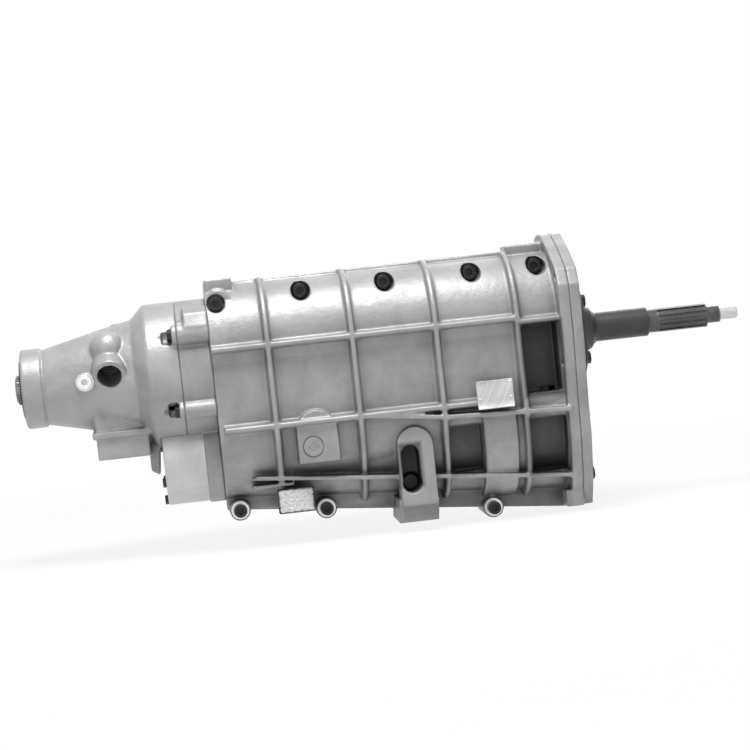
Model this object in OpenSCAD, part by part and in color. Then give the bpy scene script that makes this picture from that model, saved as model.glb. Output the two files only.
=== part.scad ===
// Five-speed manual transmission: a ribbed split case, a front plate with its
// bearing retainer, a rear bearing plate, a tail housing, and the whole gear
// train and shift mechanism inside.
// The frame's origin is on the main shaft axis at the front plate's front face.
// X points forward to the engine, Z points up, Y points to the lever side.
// All lengths are in millimetres.

/* [Shaft line] */
// Distance from the main shaft axis down to the countershaft axis
shaft_gap = 101.6; // [101.6:0.1:102]
// Module of all the running gears
gear_module = 3.175; // [3.17:0.001:3.178]
// Backlash of a meshed pair, along the pitch circle
backlash = 0.24; // [0.2:0.02:0.34]
// Running clearance between a shaft and what turns on it
run_gap = 0.05; // [0.02:0.01:0.08]
// Width of the input, second, third and fourth gears
gear_w = 32; // [30:0.5:33]
// Width of the first gear
first_w = 42; // [38:0.5:44]
// Width of the reverse gears
reverse_w = 30; // [26:0.5:31]
// X of the middle of the fourth and fifth gear hub
hub45_x = -99; // [-99.5:0.1:-98.5]
// X of the middle of the second and third gear hub
hub23_x = -227; // [-227.5:0.1:-226.5]
// X of the middle of the first and reverse gear hub
hub1r_x = -367; // [-367.5:0.1:-366.5]

/* [Selector teeth] */
// Tip radius of the selector teeth
dog_r = 38.4; // [38:0.1:38.6]
// Depth of the selector teeth
dog_depth = 2.6; // [2.2:0.1:2.8]
// Width of one hub tooth, in degrees
hub_tooth = 5.85; // [5.4:0.05:5.9]
// Width of one gear's selector tooth, in degrees
dog_tooth = 4.5; // [4.2:0.05:4.6]
// Width of the gap between two sleeve teeth, in degrees
sleeve_gap = 6.1; // [6.05:0.05:6.2]
// Outer radius of a sliding sleeve
sleeve_r = 50; // [48:0.5:51]
// Width of a sliding sleeve
sleeve_w = 34; // [33:0.5:34]
// Width of the fork groove in a sleeve
groove_w = 9; // [8:0.5:10]

/* [Input shaft] */
// X of the input shaft's front tip
tip_x = 210; // [206:1:214]
// Radius of the pilot at the tip
pilot_r = 7.5; // [7:0.1:8]
// Length of the pilot
pilot_l = 22; // [18:1:26]
// Outer radius of the clutch spline
spline_r = 14.2875; // [14:0.05:14.4]
// Number of clutch splines
spline_n = 10; // [8:1:12]
// X where the clutch spline begins
spline_x = 110; // [106:1:114]
// Length of the clutch spline
spline_l = 61; // [55:1:62]

/* [Bearing retainer] */
// Radius of the register flange
register_r = 59.5; // [58:0.1:60]
// Thickness of the register flange
register_t = 13; // [12:0.5:14]
// Radius of the release bearing sleeve
collar_r = 17.46; // [17.2:0.02:17.6]
// X of the release bearing sleeve's front end
collar_x = 98; // [94:1:100]
// Circle radius of the four retainer bolts
retainer_pcr = 48; // [47:0.5:50]

/* [Case] */
// Thickness of the front plate
plate_t = 12; // [11:0.5:13]
// X of the case's rear face
case_rear_x = -432; // [-432:0.5:-431]
// Half width of the case's right side wall
right_w = 86; // [85:0.5:88]
// Half width of the case's left side wall, over the forks
left_w = 96; // [95.5:0.5:98]
// How far the flat side panels stand back from the shoulders
panel_in = 3; // [2:0.5:4]
// Height of the case's top above the main shaft
case_top = 97; // [96:0.5:98]
// Radius that rounds the case from its top to its sides
shoulder_r = 70; // [69:0.5:70]
// How far the ribs stand out
rib_h = 9; // [7:0.5:10]
// Thickness of a rib at its crown
rib_t = 5.5; // [5:0.5:6]
// How much a rib's flank widens from its crown to its root
rib_draft = 2.6; // [2:0.2:3]
// Height of the lowest point of the case's belly
belly_z = -155; // [-156:0.5:-154]
// Outer radius of the countershaft tunnel at the rear face
tunnel_rear_r = 53; // [52.5:0.5:55]
// Outer radius of the countershaft tunnel at the front face
tunnel_front_r = 88; // [86:0.5:89]
// Height of the clamp bolts above the main shaft
clamp_z = 82; // [82:0.5:84]
// Radius of a clamp bolt's deep pocket
clamp_pocket_r = 11.5; // [10:0.5:11.5]
// Thickness of each half's joint flange
joint_t = 14; // [12:0.5:16]

/* [Tail housing] */
// X of the tail housing's front face
tail_front_x = -469; // [-470:0.5:-468]
// X of the tail housing's rear end
tail_end_x = -655; // [-658:1:-652]
// Radius of the tail housing's barrel
barrel_r = 85; // [84:0.5:86]
// X where the barrel ends
barrel_end_x = -508; // [-510:1:-506]
// Radius of the seal band at the rear end
band_r = 47; // [45:0.5:48]
// Length of the seal band
band_l = 24; // [20:1:28]
// Radius of the slip yoke's bushing
bush_r = 23.97; // [23.9:0.01:24.1]
// Radius of the speedometer gear bore
speedo_r = 13.9; // [13:0.1:14.5]
// X of the speedometer gear bore
speedo_x = -551; // [-553:0.5:-549]
// Width of the mount pad along the shaft
pad_l = 61; // [56:1:64]
// Height of the mount pad's face below the main shaft
pad_z = 91; // [90:0.5:93]
// Distance between the two mount pad bolts
pad_pitch = 66; // [60:1:70]
// Radius of the countershaft's rear cover
cover_r = 54; // [53.5:0.5:54.5]
// Length of the countershaft's rear cover
cover_l = 49; // [46:1:52]

/* [Output shaft] */
// X of the output shaft's rear end
out_end_x = -664; // [-667:1:-662]
// Outer radius of the output spline
out_spline_r = 17.46; // [17.3:0.02:17.6]
// Number of output splines
out_spline_n = 32; // [28:2:34]

/* [Levers] */
// Distance from a lever shaft's axis to its inner pin
arm_l = 41; // [41:0.1:41.2]
// Radius of a lever shaft
lever_shaft_r = 9; // [8.5:0.1:9.5]
// Length of an outer lever
lever_l = 66; // [58:1:76]
// Radius of the hole for the shift rod
rod_hole_r = 4.8; // [4:0.1:5]

/* [Hidden] */
$fn = 72;
dog_count = 32;
in_z = 26;
drive_z = 38;
g4_z = 28;
c4_z = 36;
g3_z = 32;
c3_z = 32;
g2_z = 37;
c2_z = 27;
g1_z = 44;
c1_z = 20;
gr_z = 33;
cr_z = 18;
idle_z = 18;
m = gear_module;
cz = -shaft_gap;
hub_half = 15;
face_u = 29;
front_x = -plate_t;
wall_x = front_x - 20;
seat_r = 26;
seat4_r = 22;
cshaft_r = 26;
ribs_x = [-366, -268, -170, -74];
top_bolts_x = [-320, -221, -118, -40];
rear_bolt = [-420, 77];
low_bolts = [[-417, -169], [-315, -178], [-116, -200]];
fill_y = -right_w - 4;
slot_x = -215;
slot_bolt_z = -155;
rail_y = left_w - 34;
rail_z = 57;
rail_r = 8;
// Radii of the blocker cones at their small and large ends.
cone_r0 = dog_r - 8.9;
cone_r1 = dog_r - 6.9;
idle_d1 = (gr_z + idle_z) / 2 * m;
idle_d2 = (cr_z + idle_z) / 2 * m;
idle_cz = -(idle_d1 * idle_d1 - idle_d2 * idle_d2 + shaft_gap * shaft_gap) / (2 * shaft_gap);
idle_cy = sqrt(idle_d1 * idle_d1 - idle_cz * idle_cz);
plate_bolts_yz = [[-50, -58], [50, -58], [-62, 52], [62, 52], [-52, -170], [52, -170]];
bell_y = 88;
bell_z0 = 66;
bell_z1 = -34;
ear_y = barrel_r - 10;
tail_ears = [[-ear_y, 46], [ear_y, 46], [-ear_y, -42], [ear_y, -42]];
cover_bolts_a = [-150, -100, -35, 15];
// X where each pair of gears begins.
in_x0 = hub45_x + face_u;
g4_x0 = hub45_x - face_u - gear_w;
g3_x0 = hub23_x + face_u;
g2_x0 = hub23_x - face_u - gear_w;
g1_x0 = hub1r_x + face_u;
gr_x0 = hub1r_x - face_u - reverse_w;
// The phases of the reverse idler and of the reverse gear.
idle_ph = mesh_phase(atan2(idle_cz - cz, idle_cy), 90 + 180 / cr_z, cr_z, idle_z);
rev_ph = mesh_phase(atan2(-idle_cz, -idle_cy), idle_ph, idle_z, gr_z);
// One side of the front joint's outline, in Y and Z.
face_pts = [[0, 119], [18, 117], [60, 98], [96, 76], [106, 56], [105, 0], [98, -46],
  [92, -80], [90, -120], [74, -172], [52, -206], [0, -209]];

// Radius of the countershaft tunnel's outside at x.
function tunnel_r(x) = tunnel_rear_r +
  (tunnel_front_r - tunnel_rear_r) * (x - case_rear_x) / (front_x - case_rear_x);
// Height of the case's sloping underside at x.
function under_z(x) = -165 - 0.1045 * (x + 463);
// Height of the sloping lower ledge at x.
function ledge_z(x) = -132 - 0.101 * (x + 400);

// Involute function, in degrees.
function inv(a) = tan(a) * 180 / PI - a;
// Half the angle of a tooth at radius r, for a gear with n teeth.
function half_tooth(n, r) = let (rp = n * m / 2, rb = rp * cos(20), q = max(r, rb))
  90 / n - backlash / 4 / rp * 180 / PI + inv(20) - inv(acos(rb / q));
// One gear's outline, with a tooth centred on the angle ph.
function gear_pts(n, ph) = let (
    rp = n * m / 2,
    rf = rp - 1.25 * m,
    ra = rp + m,
    rs = [rf, max(rf + 0.3, rp * cos(20) + 0.15), rp + 0.1 * m, ra])
  [for (i = [0 : n - 1]) for (k = [0 : 7])
    let (j = k < 4 ? k : 7 - k,
      s = k < 4 ? -1 : 1,
      a = ph + i * 360 / n + s * half_tooth(n, rs[j]))
    [rs[j] * cos(a), rs[j] * sin(a)]];
// Square teeth: n teeth of wid degrees between the radii r0 and r1.
function square_pts(n, r0, r1, wid, ph = 0) =
  [for (i = [0 : n - 1]) for (k = [0 : 3])
    let (a = ph + i * 360 / n + (k < 2 ? -0.5 : 0.5) * wid,
      r = (k == 1 || k == 2) ? r1 : r0)
    [r * cos(a), r * sin(a)]];
// The phase of gear b that meshes with gear a, along the direction al from a to b.
function mesh_phase(al, pa, za, zb) = al + 180 - (0.5 - (al - pa) * za / 360) * 360 / zb;
// Outline of both halves of the front joint, from one side's points.
function both_sides(p) = concat(p, [for (i = [len(p) - 2 : -1 : 1]) [-p[i][0], p[i][1]]]);

// A solid whose outline is in Y and Z, running along X.
module xprism(pts, x0, x1) {
  translate([x0, 0, 0]) rotate([90, 0, 90]) linear_extrude(x1 - x0) polygon(pts);
}
// A solid whose outline is in X and Z, running along Y.
module yprism(pts, y0, y1) {
  translate([0, y1, 0]) rotate([90, 0, 0]) linear_extrude(y1 - y0) polygon(pts);
}
// A cylinder along X.
module xcyl(r, x0, x1, y = 0, z = 0) {
  translate([x0, y, z]) rotate([0, 90, 0]) cylinder(r = r, h = x1 - x0);
}
// A cone along X, of radius r0 at x0 and r1 at x1.
module xcone(r0, r1, x0, x1, y = 0, z = 0) {
  translate([x0, y, z]) rotate([0, 90, 0]) cylinder(r1 = r0, r2 = r1, h = x1 - x0);
}
// A cylinder along Y.
module ycyl(r, y0, y1, x = 0, z = 0) {
  translate([x, y0, z]) rotate([-90, 0, 0]) cylinder(r = r, h = y1 - y0);
}
// A cylinder along Z.
module zcyl(r, z0, z1, x = 0, y = 0) {
  translate([x, y, z0]) cylinder(r = r, h = z1 - z0);
}
// A box from its two corners.
module box(a, b) {
  translate(a) cube(b - a);
}
// A turned solid on the X axis, from points that are [x, radius].
module xturn(pts, y = 0, z = 0) {
  translate([0, y, z]) rotate([0, 90, 0])
    rotate_extrude($fn = 96) polygon([for (p = pts) [p[1], p[0]]]);
}
// A tube along X.
module xtube(ro, ri, x0, x1, y = 0, z = 0) {
  difference() {
    xcyl(ro, x0, x1, y, z);
    xcyl(ri, x0 - 1, x1 + 1, y, z);
  }
}
// A socket-head bolt along +Y, its head's seat at y and its shank l long.
module cap_bolt_y(x, y, z, r, l) {
  difference() {
    union() {
      ycyl(r, y, y + l, x, z);
      ycyl(r * 1.6, y - r * 1.9, y, x, z);
    }
    translate([x, y - r * 1.9 - 1, z]) rotate([-90, 30, 0])
      cylinder(r = r * 0.98, h = r + 1, $fn = 6);
  }
}
// A hexagon-head bolt along X; s is +1 when the head is at the front.
module hex_bolt_x(x, y, z, r, l, s) {
  xcyl(r, s > 0 ? x - l : x, s > 0 ? x : x + l, y, z);
  translate([s > 0 ? x : x - r * 1.3, y, z]) rotate([0, 90, 0])
    cylinder(r = r * 1.85, h = r * 1.3, $fn = 6);
}

// ---- Gear train pieces ----

// The selector teeth and blocker cone of a gear, at hub centre c on the side s.
module dog_side(c, s, bore) {
  difference() {
    union() {
      xprism(square_pts(dog_count, dog_r - dog_depth - 0.3, dog_r - 0.1, dog_tooth),
        min(c + s * 23, c + s * 28), max(c + s * 23, c + s * 28));
      xcyl(dog_r - dog_depth - 0.3, min(c + s * 22.6, c + s * face_u),
        max(c + s * 22.6, c + s * face_u));
      if (s > 0)
        xcone(cone_r0, cone_r1, c + 15.6, c + 22.6);
      else
        xcone(cone_r1, cone_r0, c - 22.6, c - 15.6);
    }
    xcyl(bore, c - 40, c + 40);
  }
}
// A main shaft gear with n teeth of width w, on the side s of the hub at c.
module speed_gear(n, w, c, s, seat, ph) {
  rf = n * m / 2 - 1.25 * m;
  x0 = s > 0 ? c + face_u : c - face_u - w;
  far = s > 0 ? x0 + w : x0;
  difference() {
    xprism(gear_pts(n, ph), x0, x0 + w);
    xcyl(seat + run_gap, x0 - 1, x0 + w + 1);
    if (rf > 46)
      xtube(rf - 7, seat + 10, far - 5, far + 5);
  }
  dog_side(c, s, seat + run_gap);
}
// A countershaft gear with n teeth, with a plain hub from h0 to h1.
module counter_gear(n, x0, w, h0, h1) {
  difference() {
    union() {
      xprism([for (p = gear_pts(n, 90 + 180 / n)) p + [0, cz]], x0, x0 + w);
      xcyl(33, h0, h1, 0, cz);
    }
    xcyl(cshaft_r + 0.01, h0 - 1, h1 + 1, 0, cz);
    if (n > 34)
      xtube(n * m / 2 - 1.25 * m - 7, 38, x0 - 5, x0 + 5, 0, cz);
  }
}
// A hub with outer teeth and a splined bore.
module synchro_hub(c, sr) {
  difference() {
    xprism(square_pts(dog_count, dog_r - dog_depth, dog_r, hub_tooth), c - hub_half, c + hub_half);
    xprism(square_pts(20, sr - 1.98, sr + 0.02, 9.2), c - 20, c + 20);
    xtube(cone_r1 + 0.5, sr + 5, c + hub_half - 3, c + 20);
    xtube(cone_r1 + 0.5, sr + 5, c - 20, c - hub_half + 3);
  }
}
// A sliding sleeve with inner teeth and a fork groove.
module sleeve(c) {
  h = sleeve_w / 2;
  g = groove_w / 2;
  difference() {
    xturn([[c - h, 30], [c - h, sleeve_r - 3], [c - h + 3, sleeve_r],
      [c - g, sleeve_r], [c - g, sleeve_r - 5.5], [c + g, sleeve_r - 5.5], [c + g, sleeve_r],
      [c + h - 3, sleeve_r], [c + h, sleeve_r - 3], [c + h, 30]]);
    xprism(square_pts(dog_count, dog_r - dog_depth + 0.2, dog_r + 0.3, sleeve_gap), c - 30, c + 30);
  }
}
// A blocker ring on the side s of the hub at c.
module blocker_ring(c, s) {
  difference() {
    union() {
      xcyl(dog_r - dog_depth - 0.4, min(c + s * 15.8, c + s * 21.8),
        max(c + s * 15.8, c + s * 21.8));
      xprism(square_pts(dog_count, dog_r - dog_depth - 0.5, dog_r - 0.2, hub_tooth - 0.4),
        min(c + s * 18.8, c + s * 21.8), max(c + s * 18.8, c + s * 21.8));
    }
    if (s > 0)
      xcone(cone_r0 + 0.1, cone_r1 + 0.1, c + 15.2, c + 22.2);
    else
      xcone(cone_r1 + 0.1, cone_r0 + 0.1, c - 22.2, c - 15.2);
  }
}
// The outer ring of a ball bearing.
module outer_race(x0, w, ro, rp, rb, z = 0) {
  difference() {
    xtube(ro, rp + rb * 0.72, x0, x0 + w, 0, z);
    translate([x0 + w / 2, 0, z]) rotate([0, 90, 0])
      rotate_extrude($fn = 96) translate([rp, 0]) circle(r = rb + 0.08);
  }
}
// The inner ring of a ball bearing.
module inner_race(x0, w, ri, rp, rb, z = 0) {
  difference() {
    xtube(rp - rb * 0.72, ri, x0, x0 + w, 0, z);
    translate([x0 + w / 2, 0, z]) rotate([0, 90, 0])
      rotate_extrude($fn = 96) translate([rp, 0]) circle(r = rb + 0.04);
  }
}
// The balls of a ball bearing.
module bearing_balls(x, rp, rb, n, z = 0) {
  for (i = [0 : n - 1])
    translate([x, rp * cos(i * 360 / n), z + rp * sin(i * 360 / n)]) sphere(r = rb);
}

module input_shaft() {
  x0 = hub45_x + face_u;
  r0 = 14;
  color("DimGray") {
    difference() {
      union() {
        xturn([[x0 + 1, 0], [x0 + 1, 30], [wall_x - 0.2, 30], [wall_x - 0.2, 25],
          [front_x + 2, 25], [front_x + 2, 22],
          [-1, 22], [1, 20], [10, 20], [13, r0], [spline_x + 1, r0], [spline_x + 1, 12.2],
          [spline_x + spline_l, 12.2], [spline_x + spline_l + 3, 10], [tip_x - pilot_l, 10],
          [tip_x - pilot_l, pilot_r], [tip_x - 1.5, pilot_r], [tip_x, pilot_r - 1.5], [tip_x, 0]]);
        xprism(square_pts(spline_n, 11.9, spline_r, 180 / spline_n), spline_x, spline_x + spline_l);
        xprism(gear_pts(in_z, -90), x0, x0 + gear_w);
      }
      xcyl(17.5, x0 - 30, x0 + 26);
    }
    dog_side(hub45_x, 1, 17.5);
  }
}
module input_bearing_inner() {
  color("Silver") inner_race(wall_x, 20, 25, 35, 6.35);
}
module input_bearing_balls() {
  color("Gainsboro") bearing_balls(wall_x + 10, 35, 6.35, 12);
}
module pilot_rollers() {
  n = 14;
  color("Gainsboro")
    for (i = [0 : n - 1])
      xcyl(2.7, hub45_x + 17, hub45_x + 41, 14.77 * cos(i * 360 / n), 14.77 * sin(i * 360 / n));
}
module main_outer_races() {
  color("Silver") {
    outer_race(wall_x, 20, 45, 35, 6.35);
    outer_race(case_rear_x - 30, 20, 45, 35, 6.35);
  }
}
module rear_bearing_inner() {
  color("Silver") inner_race(case_rear_x - 30, 20, 25, 35, 6.35);
}
module rear_bearing_balls() {
  color("Gainsboro") bearing_balls(case_rear_x - 20, 35, 6.35, 12);
}
module counter_outer_races() {
  color("Silver") {
    outer_race(front_x - 18, 18, 40, 30, 5.9, cz);
    outer_race(case_rear_x - 39, 18, 40, 30, 5.9, cz);
  }
}
module counter_inner_races() {
  color("Silver") {
    inner_race(front_x - 18, 18, 20, 30, 5.9, cz);
    inner_race(case_rear_x - 39, 18, 20, 30, 5.9, cz);
  }
}
module counter_balls() {
  color("Gainsboro") {
    bearing_balls(front_x - 9, 30, 5.9, 11, cz);
    bearing_balls(case_rear_x - 30, 30, 5.9, 11, cz);
  }
}

module countershaft() {
  color("SlateGray") {
    xturn([[case_rear_x - 41, 0], [case_rear_x - 41, 18.5], [case_rear_x - 39.5, 20],
      [case_rear_x - 21, 20], [case_rear_x - 21, 23],
      [g1_x0 - 2, 23], [g1_x0 + first_w, 24], [g1_x0 + first_w + 6, 24],
      [g1_x0 + first_w + 6, cshaft_r], [in_x0 + gear_w + 3, cshaft_r],
      [in_x0 + gear_w + 3, 20], [front_x - 2, 20], [front_x - 0.5, 18.5], [front_x - 0.5, 0]], 0, cz);
    xprism([for (p = gear_pts(c1_z, 90 + 180 / c1_z)) p + [0, cz]], g1_x0, g1_x0 + first_w);
    xprism([for (p = gear_pts(cr_z, 90 + 180 / cr_z)) p + [0, cz]], gr_x0, gr_x0 + reverse_w);
  }
}
module counter_drive_gear() {
  color("LightSlateGray")
    counter_gear(drive_z, in_x0, gear_w, g4_x0 + gear_w + 14, in_x0 + gear_w);
}
module counter_gear_4() {
  color("LightSlateGray") counter_gear(c4_z, g4_x0, gear_w, g4_x0, g4_x0 + gear_w + 13.9);
}
module counter_gear_3() {
  color("LightSlateGray") counter_gear(c3_z, g3_x0, gear_w, g2_x0 + gear_w + 20, g4_x0 - 0.1);
}
module counter_gear_2() {
  color("LightSlateGray") counter_gear(c2_z, g2_x0, gear_w, g2_x0, g2_x0 + gear_w + 19.9);
}

module mainshaft() {
  c = hub45_x;
  color("DimGray") {
    xturn([[out_end_x, 0], [out_end_x, 14], [out_end_x + 1.5, 15.6], [-598, 15.6], [-598, 19],
      [-570, 19], [-570, 20], [-538, 20], [-538, 22], [case_rear_x - 32, 22],
      [case_rear_x - 32, 25], [case_rear_x - 10, 25],
      [case_rear_x - 10, seat_r], [hub1r_x - hub_half, seat_r], [hub1r_x - hub_half, seat_r - 2.1],
      [hub1r_x + hub_half, seat_r - 2.1], [hub1r_x + hub_half, seat_r], [hub23_x - hub_half, seat_r],
      [hub23_x - hub_half, seat_r - 2.1], [hub23_x + hub_half, seat_r - 2.1],
      [hub23_x + hub_half, seat_r],
      [g3_x0 + gear_w + 0.3, seat_r], [g3_x0 + gear_w + 0.3, 33], [g4_x0 - 0.3, 33], [g4_x0 - 0.3, seat4_r],
      [c - hub_half, seat4_r], [c - hub_half, 17.9], [c + hub_half, 17.9], [c + hub_half, 12],
      [c + 47.5, 12], [c + 49, 10.5], [c + 49, 0]]);
    for (h = [hub1r_x, hub23_x])
      xprism(square_pts(20, seat_r - 2.3, seat_r - 0.05, 9), h - hub_half - 0.4, h + hub_half + 0.4);
    xprism(square_pts(20, 17.7, 19.95, 9), c - hub_half - 0.4, c + hub_half - 0.2);
    xprism(square_pts(out_spline_n, 15.4, out_spline_r, 180 / out_spline_n), out_end_x + 2, -602);
  }
}
module hub_45() {
  color("Gray") synchro_hub(hub45_x, 20);
}
module hub_23() {
  color("Gray") synchro_hub(hub23_x, seat_r);
}
module hub_1r() {
  color("Gray") synchro_hub(hub1r_x, seat_r);
}
module blocker_rings() {
  color("Goldenrod")
    for (c = [hub45_x, hub23_x, hub1r_x]) {
      blocker_ring(c, 1);
      blocker_ring(c, -1);
    }
}
module speedo_drive_gear() {
  n = 16;
  color("Ivory")
    difference() {
      xprism(square_pts(n, 20.6, 22.6, 11), -562, -541);
      xcyl(20, -570, -530);
    }
}
module gear_4th() {
  color("DarkGray") speed_gear(g4_z, gear_w, hub45_x, -1, seat4_r, -90);
}
module gear_3rd() {
  color("DarkGray") speed_gear(g3_z, gear_w, hub23_x, 1, seat_r, -90);
}
module gear_2nd() {
  color("DarkGray") speed_gear(g2_z, gear_w, hub23_x, -1, seat_r, -90);
}
module gear_1st() {
  color("DarkGray") speed_gear(g1_z, first_w, hub1r_x, 1, seat_r, -90);
}
module gear_reverse() {
  color("DarkGray") speed_gear(gr_z, reverse_w, hub1r_x, -1, seat_r, rev_ph);
}
module idler_gear() {
  color("DarkGray")
    difference() {
      xprism([for (p = gear_pts(idle_z, idle_ph)) p + [idle_cy, idle_cz]],
        gr_x0 + 1, gr_x0 + reverse_w - 1);
      xcyl(10 + run_gap, gr_x0 - 5, gr_x0 + reverse_w + 5, idle_cy, idle_cz);
    }
}
module idler_shaft() {
  color("Silver") xcyl(10, case_rear_x - 12, gr_x0 + reverse_w + 12, idle_cy, idle_cz);
}
module sleeve_45() {
  color("Gray") sleeve(hub45_x);
}
module sleeve_23() {
  color("Gray") sleeve(hub23_x);
}
module sleeve_1r() {
  color("Gray") sleeve(hub1r_x);
}

// ---- Shift mechanism ----

// A fork that rides on the rail and holds the sleeve at c.
module fork(c) {
  t = groove_w / 2 - 0.1;
  a = atan2(rail_z, rail_y);
  difference() {
    union() {
      difference() {
        xcyl(60, c - t, c + t);
        box([c - 10, -70, -70], [c + 10, 4, 70]);
      }
      translate([c, 0, 0]) rotate([a, 0, 0])
        box([-t, 50, -13], [t, norm([rail_y, rail_z]) - 6, 13]);
      xcyl(12, c - 14, c + 14, rail_y, rail_z);
      box([c - 10, rail_y - 6, 32], [c + 10, rail_y + 12, 50]);
    }
    xcyl(sleeve_r - 5.2, c - 20, c + 20);
    xcyl(rail_r + run_gap, c - 20, c + 20, rail_y, rail_z);
    box([c - 5.1, rail_y - 8, 30], [c + 5.1, rail_y + 18, 46.5]);
  }
}
module fork_45() {
  color("Peru") fork(hub45_x);
}
module fork_23() {
  color("Peru") fork(hub23_x);
}
module fork_1r() {
  color("Peru") fork(hub1r_x);
}
module shift_rail() {
  color("Silver") xcyl(rail_r, case_rear_x - 10, wall_x + 12, rail_y, rail_z);
}
// A lever shaft with its inner arm and pin, on the axis at x = c.
module lever_shaft(c) {
  y1 = left_w - 12;
  color("Silver") {
    ycyl(lever_shaft_r, y1 - 8, left_w + 34, c, 0);
    ycyl(14, y1 - 7, y1, c, 0);
    box([c - 7, y1 - 7, 0], [c + 7, y1, arm_l]);
    ycyl(7, y1 - 7, y1, c, arm_l);
    ycyl(4.85, rail_y - 2, y1 - 6, c, arm_l);
    ycyl(5.5, left_w + 33, left_w + 44, c, 0);
  }
}
module lever_shaft_45() {
  lever_shaft(hub45_x);
}
module lever_shaft_23() {
  lever_shaft(hub23_x);
}
module lever_shaft_1r() {
  lever_shaft(hub1r_x);
}
// An outer lever with a shift rod hole; k makes each one's reach its own.
module lever(c, k) {
  l = lever_l + k;
  y0 = left_w + 26;
  color("DarkKhaki")
    difference() {
      union() {
        ycyl(15, y0 - 4, y0 + 8, c, 0);
        yprism([[c - 12, 0], [c - 8, -l], [c + 8, -l], [c + 12, 0]], y0, y0 + 6);
        ycyl(10, y0, y0 + 6, c, -l);
      }
      ycyl(lever_shaft_r + 0.01, y0 - 10, y0 + 20, c, 0);
      ycyl(rod_hole_r, y0 - 10, y0 + 20, c, -l);
    }
}
module lever_45() {
  lever(hub45_x, 0);
}
module lever_23() {
  lever(hub23_x, 6);
}
module lever_1r() {
  lever(hub1r_x, 12);
}

// ---- Case ----

// A ring rib with drafted flanks around an axis along X, at x.
module ring_rib(r, x, y, z) {
  h = rib_h + panel_in;
  c = rib_t / 2;
  xturn([[x - c - rib_draft, 0], [x - c - rib_draft, r - h], [x - c, r - 0.8], [x - c + 0.8, r],
    [x + c - 0.8, r], [x + c, r - 0.8], [x + c + rib_draft, r - h], [x + c + rib_draft, 0]], y, z);
}
// A drafted rib that stands on the side wall at x, from z0 up to z1, with its crown at y1.
module wall_rib(x, z0, z1, y1) {
  h = rib_h + panel_in;
  c = rib_t / 2;
  translate([0, 0, z0]) linear_extrude(z1 - z0)
    polygon([[x - c - rib_draft, 0], [x - c - rib_draft, y1 - h], [x - c, y1 - 0.8], [x - c + 0.8, y1],
      [x + c - 0.8, y1], [x + c, y1 - 0.8], [x + c + rib_draft, y1 - h], [x + c + rib_draft, 0]]);
}
// A drafted rib along the side wall from x0 to x1, at the height z, with its crown at y1.
module long_rib(x0, x1, z, y1) {
  h = rib_h + panel_in;
  c = rib_t / 2;
  xprism([[y1 - 24, z - c - rib_draft], [y1 - h, z - c - rib_draft], [y1 - 0.8, z - c],
    [y1, z - c + 0.8], [y1, z + c - 0.8], [y1 - 0.8, z + c], [y1 - h, z + c + rib_draft],
    [y1 - 24, z + c + rib_draft]], x0, x1);
}
// The solid outside of one half; w is its half width and s its side.
module half_skin(w, s) {
  y0 = w - shoulder_r;
  z0 = case_top - shoulder_r;
  pw = w - panel_in;
  top = w + rib_h;
  mirror([0, s > 0 ? 0 : 1, 0]) {
    xcyl(shoulder_r, case_rear_x, front_x, y0, z0);
    box([case_rear_x, 0, z0 - 20], [front_x, y0, case_top]);
    box([case_rear_x, 0, 23], [front_x, w, z0]);
    // The flat side panel, the round belly under it, and the countershaft's tunnel.
    box([case_rear_x, 0, belly_z + pw], [front_x, pw, 30]);
    xcyl(pw, case_rear_x, front_x, 0, belly_z + pw);
    xcone(tunnel_rear_r, tunnel_front_r, case_rear_x, front_x, 0, cz);
    for (x = ribs_x) {
      ring_rib(shoulder_r + 6, x, y0 + rib_h - 6, z0);
      wall_rib(x, belly_z + pw, z0, top);
      box([x - rib_t / 2, 0, z0], [x + rib_t / 2, y0 + rib_h - 6, case_top + 6]);
      ring_rib(top, x, 0, belly_z + pw);
      ring_rib(tunnel_r(x) + rib_h, x, 0, cz);
    }
    long_rib(case_rear_x, -71, 21 + rib_t / 2, top);
    long_rib(-77, -20, 16 + rib_t / 2, top);
    long_rib(case_rear_x + 6, -130, -73 + rib_t / 2, top);
    yprism([[-264, -73], [-168, -85], [-20, -91], [-20, -91 + rib_t], [-168, -85 + rib_t],
      [-264, -73 + rib_t]], w - 40, top);
    yprism([[-396, ledge_z(-396)], [-20, ledge_z(-20)], [-20, ledge_z(-20) + 5],
      [-396, ledge_z(-396) + 5]], 20, 74);
    yprism([[case_rear_x, 0], [case_rear_x, 101], [-71, 103], [-67, 109], [-20, 110], [front_x, 100],
      [front_x, under_z(front_x)], [case_rear_x, under_z(case_rear_x)]], 0, joint_t);
    box([-68, 0, 60], [-20, 24, 109]);
    xcyl(88, -126, -86, 0, cz);
    for (b = low_bolts)
      ycyl(12.5, 0, 30, b[0], b[1]);
    // The lug over the bolt that closes the rear corner.
    box([-431, 0, 84], [-399, 46, 106]);
    ycyl(14.5, 0, 62, rear_bolt[0] + 3, rear_bolt[1] + 2);
    xprism(face_pts, front_x - 13, front_x);
  }
}
// The hollow of one half's belly; w is its half width.
module belly(w) {
  xcyl(w - 19, case_rear_x + 12, hub45_x + 21, 0, belly_z + w - panel_in);
}
// The cavities that both halves share.
module cavity() {
  xcyl(76, case_rear_x - 1, hub45_x + 21);
  xcyl(50, hub45_x + 15, wall_x);
  xcone(46.5, 68.5, case_rear_x - 0.1, wall_x, 0, cz);
  box([case_rear_x - 1, -46, cz], [hub45_x + 21, 46, 0]);
  box([hub45_x + 15, -36, cz], [wall_x, 36, 0]);
  xcyl(45, wall_x - 5, 0);
  xcyl(40, wall_x - 5, 0, 0, cz);
}
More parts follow.
